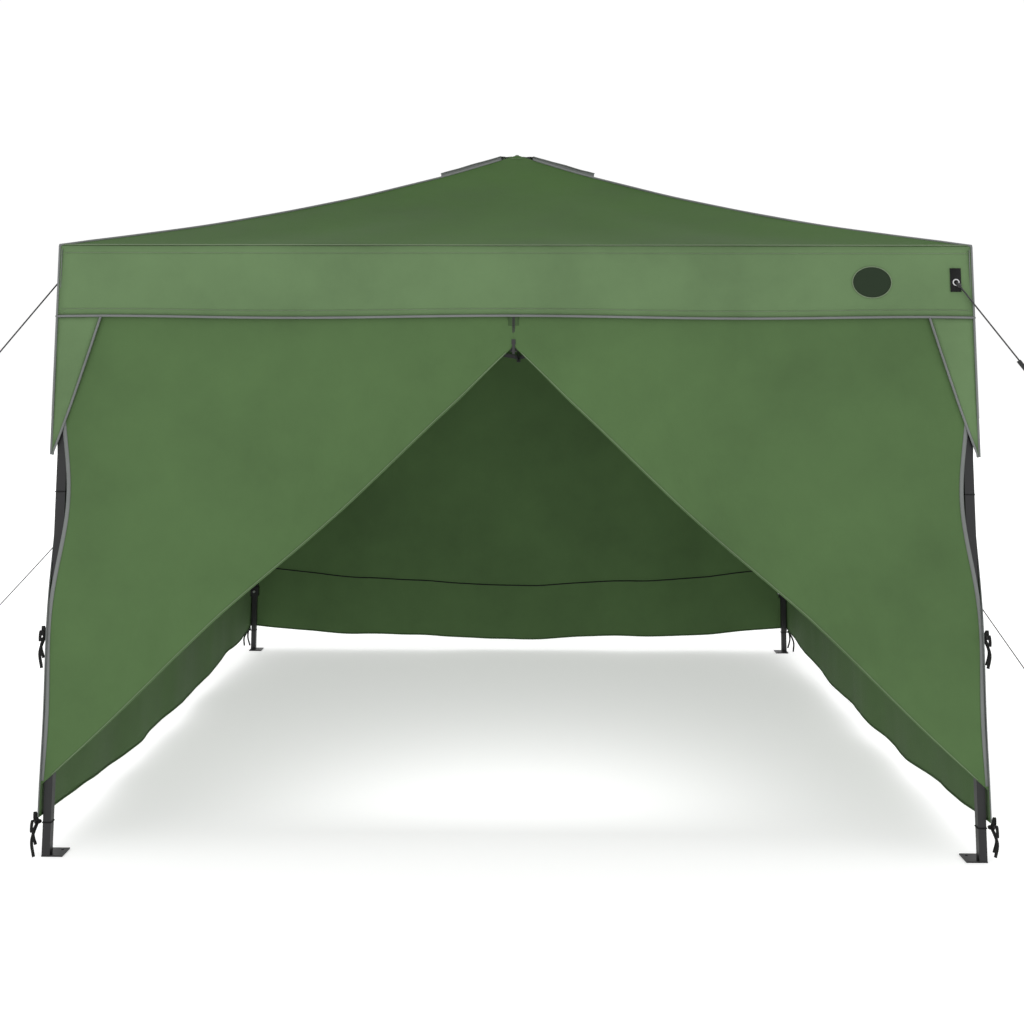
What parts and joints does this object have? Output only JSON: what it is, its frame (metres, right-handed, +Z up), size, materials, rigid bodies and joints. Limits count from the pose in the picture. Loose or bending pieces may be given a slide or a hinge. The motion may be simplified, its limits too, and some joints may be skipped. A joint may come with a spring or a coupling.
{
  "type": "pop up gazebo",
  "caption": "Square pop-up gazebo: folding scissor-truss steel frame on telescopic legs, hip-roof canopy with valance, clip-on side walls with a zipped front door, and guy ropes",
  "frame": {"origin": "centre of the footprint, on the ground", "axes": "+Z up, the door faces -Y, +X to the right of someone who looks at the door"},
  "size_m": [5.7238, 2.9329, 2.4438],
  "materials": {
    "green_fabric": "woven polyester",
    "black_cord": "braided cord",
    "black_plastic": "moulded",
    "black_steel": "powder coated",
    "plated_steel": "zinc plated"
  },
  "bodies": {
    "hub": {"centre_hub": "black_plastic", "canopy": "green_fabric", "front_wall_left": "green_fabric", "front_wall_right": "green_fabric", "right_wall": "green_fabric", "back_wall": "green_fabric", "left_wall": "green_fabric"},
    "peak_pole": {"peak_pole": "black_steel"},
    "strut_front": {"roof_strut_front": "black_steel"},
    "connector_front": {"truss_connector_front": "black_plastic"},
    "bar_front_a_top": {"truss_bar_front_a_top": "black_steel"},
    "bar_front_a_slide": {"truss_bar_front_a_slide": "black_steel"},
    "bar_front_b_slide": {"truss_bar_front_b_slide": "black_steel"},
    "bar_front_b_top": {"truss_bar_front_b_top": "black_steel"},
    "leg_front_left": {"upper_leg_front_left": "black_steel", "top_bracket_front_left": "black_plastic", "guy_rope_front_left": "black_cord"},
    "slider_front_left": {"slider_front_left": "black_plastic"},
    "lower_leg_front_left": {"lower_leg_front_left": "black_steel"},
    "slider_pin_front_left": {"slider_pin_front_left": "plated_steel"},
    "height_button_front_left": {"height_button_front_left": "plated_steel"},
    "strut_right": {"roof_strut_right": "black_steel"},
    "connector_right": {"truss_connector_right": "black_plastic"},
    "bar_right_a_top": {"truss_bar_right_a_top": "black_steel"},
    "bar_right_a_slide": {"truss_bar_right_a_slide": "black_steel"},
    "bar_right_b_slide": {"truss_bar_right_b_slide": "black_steel"},
    "bar_right_b_top": {"truss_bar_right_b_top": "black_steel"},
    "leg_front_right": {"upper_leg_front_right": "black_steel", "top_bracket_front_right": "black_plastic", "guy_rope_front_right": "black_cord"},
    "slider_front_right": {"slider_front_right": "black_plastic"},
    "lower_leg_front_right": {"lower_leg_front_right": "black_steel"},
    "slider_pin_front_right": {"slider_pin_front_right": "plated_steel"},
    "height_button_front_right": {"height_button_front_right": "plated_steel"},
    "strut_back": {"roof_strut_back": "black_steel"},
    "connector_back": {"truss_connector_back": "black_plastic"},
    "bar_back_a_top": {"truss_bar_back_a_top": "black_steel"},
    "bar_back_a_slide": {"truss_bar_back_a_slide": "black_steel"},
    "bar_back_b_slide": {"truss_bar_back_b_slide": "black_steel"},
    "bar_back_b_top": {"truss_bar_back_b_top": "black_steel"},
    "leg_back_right": {"upper_leg_back_right": "black_steel", "top_bracket_back_right": "black_plastic", "guy_rope_back_right": "black_cord"},
    "slider_back_right": {"slider_back_right": "black_plastic"},
    "lower_leg_back_right": {"lower_leg_back_right": "black_steel"},
    "slider_pin_back_right": {"slider_pin_back_right": "plated_steel"},
    "height_button_back_right": {"height_button_back_right": "plated_steel"},
    "strut_left": {"roof_strut_left": "black_steel"},
    "connector_left": {"truss_connector_left": "black_plastic"},
    "bar_left_a_top": {"truss_bar_left_a_top": "black_steel"},
    "bar_left_a_slide": {"truss_bar_left_a_slide": "black_steel"},
    "bar_left_b_slide": {"truss_bar_left_b_slide": "black_steel"},
    "bar_left_b_top": {"truss_bar_left_b_top": "black_steel"},
    "leg_back_left": {"upper_leg_back_left": "black_steel", "top_bracket_back_left": "black_plastic", "guy_rope_back_left": "black_cord"},
    "slider_back_left": {"slider_back_left": "black_plastic"},
    "lower_leg_back_left": {"lower_leg_back_left": "black_steel"},
    "slider_pin_back_left": {"slider_pin_back_left": "plated_steel"},
    "height_button_back_left": {"height_button_back_left": "plated_steel"}
  },
  "joints": [
    {"name": "peak_pole_slide", "type": "slide", "parent": "hub", "child": "peak_pole", "axis": [0, 0, -1], "range_m": [0, 0.5]},
    {"name": "fold", "type": "hinge", "parent": "hub", "child": "strut_front", "pos_m": [0, -0.028, 1.83], "axis": [1, 0, 0], "range_deg": [0, 77.6], "deforming": ["canopy", "front_wall_left", "front_wall_right", "right_wall", "back_wall", "left_wall"]},
    {"name": "connector_hinge_front", "type": "hinge", "parent": "strut_front", "child": "connector_front", "pos_m": [0, -1.403, 1.57], "axis": [-1, 0, 0], "range_deg": [0, 77.6]},
    {"name": "a_top_hinge_front", "type": "hinge", "parent": "connector_front", "child": "bar_front_a_top", "pos_m": [0, -1.43, 1.57], "axis": [0, 1, 0], "range_deg": [0, 77.6]},
    {"name": "b_top_hinge_front", "type": "hinge", "parent": "connector_front", "child": "bar_front_b_top", "pos_m": [0, -1.43, 1.57], "axis": [0, -1, 0], "range_deg": [0, 77.6]},
    {"name": "a_cross_hinge_front", "type": "hinge", "parent": "bar_front_a_top", "child": "bar_front_a_slide", "pos_m": [-0.6875, -1.43, 1.7], "axis": [0, -1, 0], "range_deg": [0, 155.2]},
    {"name": "b_cross_hinge_front", "type": "hinge", "parent": "bar_front_b_top", "child": "bar_front_b_slide", "pos_m": [0.6875, -1.43, 1.7], "axis": [0, 1, 0], "range_deg": [0, 155.2]},
    {"name": "leg_hinge_front_left", "type": "hinge", "parent": "bar_front_a_top", "child": "leg_front_left", "pos_m": [-1.375, -1.43, 1.83], "axis": [0, -1, 0], "range_deg": [0, 77.6]},
    {"name": "slider_hinge_front_left", "type": "hinge", "parent": "bar_front_a_slide", "child": "slider_front_left", "pos_m": [-1.375, -1.43, 1.57], "axis": [0, 1, 0], "range_deg": [0, 77.6]},
    {"name": "leg_extend_front_left", "type": "slide", "parent": "leg_front_left", "child": "lower_leg_front_left", "axis": [0, 0, 1], "range_m": [0, 0.25]},
    {"name": "slider_pin_pull_front_left", "type": "slide", "parent": "slider_front_left", "child": "slider_pin_front_left", "axis": [1, 0, 0], "range_m": [0, 0.006], "stiffness_N_per_m": 800, "springref_m": -0.004},
    {"name": "height_button_pull_front_left", "type": "slide", "parent": "leg_front_left", "child": "height_button_front_left", "axis": [1, 0, 0], "range_m": [0, 0.005], "stiffness_N_per_m": 800, "springref_m": -0.004},
    {"name": "strut_hinge_right", "type": "hinge", "parent": "hub", "child": "strut_right", "pos_m": [0.028, 0, 1.83], "axis": [0, 1, 0], "range_deg": [0, 77.6]},
    {"name": "connector_hinge_right", "type": "hinge", "parent": "strut_right", "child": "connector_right", "pos_m": [1.403, 0, 1.57], "axis": [0, -1, 0], "range_deg": [0, 77.6]},
    {"name": "a_top_hinge_right", "type": "hinge", "parent": "connector_right", "child": "bar_right_a_top", "pos_m": [1.43, 0, 1.57], "axis": [-1, 0, 0], "range_deg": [0, 77.6]},
    {"name": "b_top_hinge_right", "type": "hinge", "parent": "connector_right", "child": "bar_right_b_top", "pos_m": [1.43, 0, 1.57], "axis": [1, 0, 0], "range_deg": [0, 77.6]},
    {"name": "a_cross_hinge_right", "type": "hinge", "parent": "bar_right_a_top", "child": "bar_right_a_slide", "pos_m": [1.43, -0.6875, 1.7], "axis": [1, 0, 0], "range_deg": [0, 155.2]},
    {"name": "b_cross_hinge_right", "type": "hinge", "parent": "bar_right_b_top", "child": "bar_right_b_slide", "pos_m": [1.43, 0.6875, 1.7], "axis": [-1, 0, 0], "range_deg": [0, 155.2]},
    {"name": "leg_hinge_front_right", "type": "hinge", "parent": "bar_right_a_top", "child": "leg_front_right", "pos_m": [1.43, -1.375, 1.83], "axis": [1, 0, 0], "range_deg": [0, 77.6]},
    {"name": "slider_hinge_front_right", "type": "hinge", "parent": "bar_right_a_slide", "child": "slider_front_right", "pos_m": [1.43, -1.375, 1.57], "axis": [-1, 0, 0], "range_deg": [0, 77.6]},
    {"name": "leg_extend_front_right", "type": "slide", "parent": "leg_front_right", "child": "lower_leg_front_right", "axis": [0, 0, 1], "range_m": [0, 0.25]},
    {"name": "slider_pin_pull_front_right", "type": "slide", "parent": "slider_front_right", "child": "slider_pin_front_right", "axis": [0, 1, 0], "range_m": [0, 0.006], "stiffness_N_per_m": 800, "springref_m": -0.004},
    {"name": "height_button_pull_front_right", "type": "slide", "parent": "leg_front_right", "child": "height_button_front_right", "axis": [0, 1, 0], "range_m": [0, 0.005], "stiffness_N_per_m": 800, "springref_m": -0.004},
    {"name": "strut_hinge_back", "type": "hinge", "parent": "hub", "child": "strut_back", "pos_m": [0, 0.028, 1.83], "axis": [-1, 0, 0], "range_deg": [0, 77.6]},
    {"name": "connector_hinge_back", "type": "hinge", "parent": "strut_back", "child": "connector_back", "pos_m": [0, 1.403, 1.57], "axis": [1, 0, 0], "range_deg": [0, 77.6]},
    {"name": "a_top_hinge_back", "type": "hinge", "parent": "connector_back", "child": "bar_back_a_top", "pos_m": [0, 1.43, 1.57], "axis": [0, -1, 0], "range_deg": [0, 77.6]},
    {"name": "b_top_hinge_back", "type": "hinge", "parent": "connector_back", "child": "bar_back_b_top", "pos_m": [0, 1.43, 1.57], "axis": [0, 1, 0], "range_deg": [0, 77.6]},
    {"name": "a_cross_hinge_back", "type": "hinge", "parent": "bar_back_a_top", "child": "bar_back_a_slide", "pos_m": [0.6875, 1.43, 1.7], "axis": [0, 1, 0], "range_deg": [0, 155.2]},
    {"name": "b_cross_hinge_back", "type": "hinge", "parent": "bar_back_b_top", "child": "bar_back_b_slide", "pos_m": [-0.6875, 1.43, 1.7], "axis": [0, -1, 0], "range_deg": [0, 155.2]},
    {"name": "leg_hinge_back_right", "type": "hinge", "parent": "bar_back_a_top", "child": "leg_back_right", "pos_m": [1.375, 1.43, 1.83], "axis": [0, 1, 0], "range_deg": [0, 77.6]},
    {"name": "slider_hinge_back_right", "type": "hinge", "parent": "bar_back_a_slide", "child": "slider_back_right", "pos_m": [1.375, 1.43, 1.57], "axis": [0, -1, 0], "range_deg": [0, 77.6]},
    {"name": "leg_extend_back_right", "type": "slide", "parent": "leg_back_right", "child": "lower_leg_back_right", "axis": [0, 0, 1], "range_m": [0, 0.25]},
    {"name": "slider_pin_pull_back_right", "type": "slide", "parent": "slider_back_right", "child": "slider_pin_back_right", "axis": [-1, 0, 0], "range_m": [0, 0.006], "stiffness_N_per_m": 800, "springref_m": -0.004},
    {"name": "height_button_pull_back_right", "type": "slide", "parent": "leg_back_right", "child": "height_button_back_right", "axis": [-1, 0, 0], "range_m": [0, 0.005], "stiffness_N_per_m": 800, "springref_m": -0.004},
    {"name": "strut_hinge_left", "type": "hinge", "parent": "hub", "child": "strut_left", "pos_m": [-0.028, 0, 1.83], "axis": [0, -1, 0], "range_deg": [0, 77.6]},
    {"name": "connector_hinge_left", "type": "hinge", "parent": "strut_left", "child": "connector_left", "pos_m": [-1.403, 0, 1.57], "axis": [0, 1, 0], "range_deg": [0, 77.6]},
    {"name": "a_top_hinge_left", "type": "hinge", "parent": "connector_left", "child": "bar_left_a_top", "pos_m": [-1.43, 0, 1.57], "axis": [1, 0, 0], "range_deg": [0, 77.6]},
    {"name": "b_top_hinge_left", "type": "hinge", "parent": "connector_left", "child": "bar_left_b_top", "pos_m": [-1.43, 0, 1.57], "axis": [-1, 0, 0], "range_deg": [0, 77.6]},
    {"name": "a_cross_hinge_left", "type": "hinge", "parent": "bar_left_a_top", "child": "bar_left_a_slide", "pos_m": [-1.43, 0.6875, 1.7], "axis": [-1, 0, 0], "range_deg": [0, 155.2]},
    {"name": "b_cross_hinge_left", "type": "hinge", "parent": "bar_left_b_top", "child": "bar_left_b_slide", "pos_m": [-1.43, -0.6875, 1.7], "axis": [1, 0, 0], "range_deg": [0, 155.2]},
    {"name": "leg_hinge_back_left", "type": "hinge", "parent": "bar_left_a_top", "child": "leg_back_left", "pos_m": [-1.43, 1.375, 1.83], "axis": [-1, 0, 0], "range_deg": [0, 77.6]},
    {"name": "slider_hinge_back_left", "type": "hinge", "parent": "bar_left_a_slide", "child": "slider_back_left", "pos_m": [-1.43, 1.375, 1.57], "axis": [1, 0, 0], "range_deg": [0, 77.6]},
    {"name": "leg_extend_back_left", "type": "slide", "parent": "leg_back_left", "child": "lower_leg_back_left", "axis": [0, 0, 1], "range_m": [0, 0.25]},
    {"name": "slider_pin_pull_back_left", "type": "slide", "parent": "slider_back_left", "child": "slider_pin_back_left", "axis": [0, -1, 0], "range_m": [0, 0.006], "stiffness_N_per_m": 800, "springref_m": -0.004},
    {"name": "height_button_pull_back_left", "type": "slide", "parent": "leg_back_left", "child": "height_button_back_left", "axis": [0, -1, 0], "range_m": [0, 0.005], "stiffness_N_per_m": 800, "springref_m": -0.004}
  ],
  "couplings": [
    {"joint": "connector_hinge_front", "follows": "fold", "ratio": 1},
    {"joint": "a_top_hinge_front", "follows": "fold", "ratio": 1},
    {"joint": "b_top_hinge_front", "follows": "fold", "ratio": 1},
    {"joint": "a_cross_hinge_front", "follows": "fold", "ratio": 2},
    {"joint": "b_cross_hinge_front", "follows": "fold", "ratio": 2},
    {"joint": "leg_hinge_front_left", "follows": "fold", "ratio": 1},
    {"joint": "slider_hinge_front_left", "follows": "fold", "ratio": 1},
    {"joint": "strut_hinge_right", "follows": "fold", "ratio": 1},
    {"joint": "connector_hinge_right", "follows": "fold", "ratio": 1},
    {"joint": "a_top_hinge_right", "follows": "fold", "ratio": 1},
    {"joint": "b_top_hinge_right", "follows": "fold", "ratio": 1},
    {"joint": "a_cross_hinge_right", "follows": "fold", "ratio": 2},
    {"joint": "b_cross_hinge_right", "follows": "fold", "ratio": 2},
    {"joint": "leg_hinge_front_right", "follows": "fold", "ratio": 1},
    {"joint": "slider_hinge_front_right", "follows": "fold", "ratio": 1},
    {"joint": "strut_hinge_back", "follows": "fold", "ratio": 1},
    {"joint": "connector_hinge_back", "follows": "fold", "ratio": 1},
    {"joint": "a_top_hinge_back", "follows": "fold", "ratio": 1},
    {"joint": "b_top_hinge_back", "follows": "fold", "ratio": 1},
    {"joint": "a_cross_hinge_back", "follows": "fold", "ratio": 2},
    {"joint": "b_cross_hinge_back", "follows": "fold", "ratio": 2},
    {"joint": "leg_hinge_back_right", "follows": "fold", "ratio": 1},
    {"joint": "slider_hinge_back_right", "follows": "fold", "ratio": 1},
    {"joint": "strut_hinge_left", "follows": "fold", "ratio": 1},
    {"joint": "connector_hinge_left", "follows": "fold", "ratio": 1},
    {"joint": "a_top_hinge_left", "follows": "fold", "ratio": 1},
    {"joint": "b_top_hinge_left", "follows": "fold", "ratio": 1},
    {"joint": "a_cross_hinge_left", "follows": "fold", "ratio": 2},
    {"joint": "b_cross_hinge_left", "follows": "fold", "ratio": 2},
    {"joint": "leg_hinge_back_left", "follows": "fold", "ratio": 1},
    {"joint": "slider_hinge_back_left", "follows": "fold", "ratio": 1}
  ]
}
